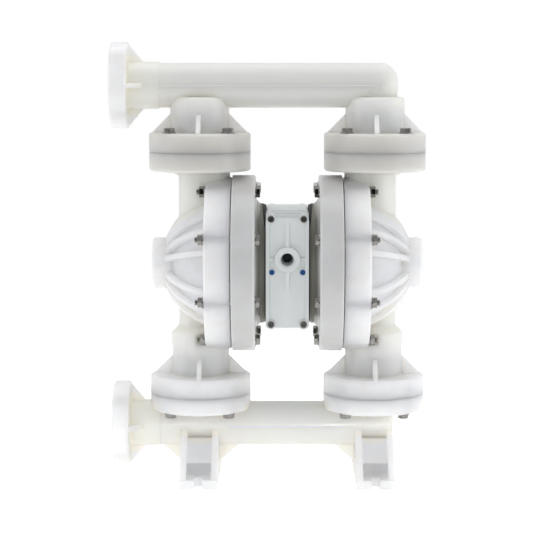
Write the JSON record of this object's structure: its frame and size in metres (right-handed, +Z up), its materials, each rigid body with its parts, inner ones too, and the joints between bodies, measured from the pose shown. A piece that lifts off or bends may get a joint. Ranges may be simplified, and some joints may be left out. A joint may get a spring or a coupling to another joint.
{
  "type": "air operated diaphragm pump",
  "caption": "Air operated diaphragm pump with flanged plastic manifolds, ribbed fluid chambers, ball check valves and a sliding diaphragm rod.",
  "frame": {"origin": "centre of the four foot slots, on the floor plane, midway between the two valve stacks", "axes": "+X along the diaphragm rod, away from the pipe flanges; +Y to the back, away from the air inlet; +Z up"},
  "size_m": [0.5594, 0.3158, 0.7803],
  "materials": {
    "natural_plastic": "natural translucent polypropylene, moulded satin",
    "white_plastic": "machined fluoropolymer",
    "blue_plastic": "moulded",
    "grey_casting": "light grey satin coating on a casting",
    "stainless": "rolled and machined",
    "plate_metal": "turned",
    "valve_metal": "hard anodised",
    "insert_brass": "knurled",
    "black_rubber": "moulded"
  },
  "bodies": {
    "pump_body": {"discharge_manifold": "natural_plastic", "suction_manifold": "natural_plastic", "left_fluid_cap": "natural_plastic", "right_fluid_cap": "natural_plastic", "left_air_cap": "natural_plastic", "right_air_cap": "natural_plastic", "left_block_gasket": "black_rubber", "right_block_gasket": "black_rubber", "centre_block": "grey_casting", "inlet_cover": "grey_casting", "exhaust_cover": "grey_casting", "port_plugs": "blue_plastic", "inlet_cover_screws": "stainless", "exhaust_cover_screws": "stainless", "rod_bushes": "white_plastic", "rod_seals": "black_rubber", "main_valve_sleeve": "valve_metal", "pilot_valve_sleeve": "valve_metal", "air_cap_screws": "stainless", "chamber_bolts": "stainless", "chamber_nuts": "stainless", "chamber_washers": "stainless", "flange_bolts": "stainless", "flange_washers": "stainless", "flange_inserts": "insert_brass", "seat_seals": "black_rubber", "left_suction_seat": "white_plastic", "right_suction_seat": "white_plastic", "left_discharge_seat": "white_plastic", "right_discharge_seat": "white_plastic"},
    "rod_assembly": {"diaphragm_rod": "stainless", "left_inner_plate": "plate_metal", "right_inner_plate": "plate_metal", "left_outer_plate": "white_plastic", "right_outer_plate": "white_plastic", "left_diaphragm": "black_rubber", "right_diaphragm": "black_rubber"},
    "main_spool": {"main_valve_spool": "valve_metal"},
    "pilot_spool": {"pilot_valve_spool": "valve_metal"},
    "left_suction_ball": {"left_suction_ball": "white_plastic"},
    "right_suction_ball": {"right_suction_ball": "white_plastic"},
    "left_discharge_ball": {"left_discharge_ball": "white_plastic"},
    "right_discharge_ball": {"right_discharge_ball": "white_plastic"}
  },
  "joints": [
    {"name": "rod_slide", "type": "slide", "parent": "pump_body", "child": "rod_assembly", "axis": [1, 0, 0], "range_m": [-0.022, 0.022], "deforming": ["left_diaphragm", "right_diaphragm"]},
    {"name": "main_spool_slide", "type": "slide", "parent": "pump_body", "child": "main_spool", "axis": [1, 0, 0], "range_m": [0, 0.0134]},
    {"name": "pilot_spool_slide", "type": "slide", "parent": "pump_body", "child": "pilot_spool", "axis": [1, 0, 0], "range_m": [-0.004, 0.004]},
    {"name": "left_suction_ball_lift", "type": "slide", "parent": "pump_body", "child": "left_suction_ball", "axis": [0, 0, 1], "range_m": [0, 0.016]},
    {"name": "right_suction_ball_lift", "type": "slide", "parent": "pump_body", "child": "right_suction_ball", "axis": [0, 0, 1], "range_m": [0, 0.016]},
    {"name": "left_discharge_ball_lift", "type": "slide", "parent": "pump_body", "child": "left_discharge_ball", "axis": [0, 0, 1], "range_m": [0, 0.016]},
    {"name": "right_discharge_ball_lift", "type": "slide", "parent": "pump_body", "child": "right_discharge_ball", "axis": [0, 0, 1], "range_m": [0, 0.016]}
  ]
}
